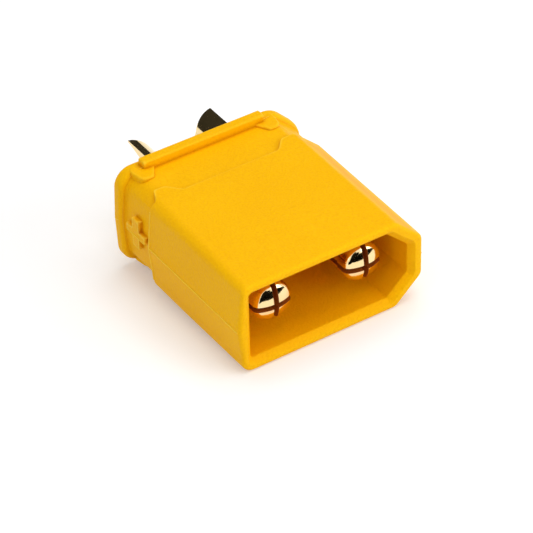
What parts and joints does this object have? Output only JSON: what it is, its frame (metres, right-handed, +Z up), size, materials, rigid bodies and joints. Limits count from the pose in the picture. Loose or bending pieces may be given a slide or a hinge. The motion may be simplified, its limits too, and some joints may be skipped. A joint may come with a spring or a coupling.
{
  "type": "battery connector",
  "caption": "Male half of a keyed battery power connector: moulded shell with a lead-in mouth and rear flange, slotted round contacts and half-round solder cups.",
  "frame": {"origin": "under the middle of the part, on the plane of its lowest faces", "axes": "+X across the width, towards the chamfered keying side; +Y from the mouth towards the solder cups; +Z up, with the bar and pads of the flange on the top and the bottom"},
  "size_m": [0.0103, 0.014, 0.006],
  "materials": {
    "nylon": "finely grained, yellow-orange moulded plastic",
    "gold_contact": "gold-plated, turned and bright"
  },
  "bodies": {
    "root": {"housing": "nylon", "positive_pin": "gold_contact", "negative_pin": "gold_contact"}
  },
  "joints": []
}
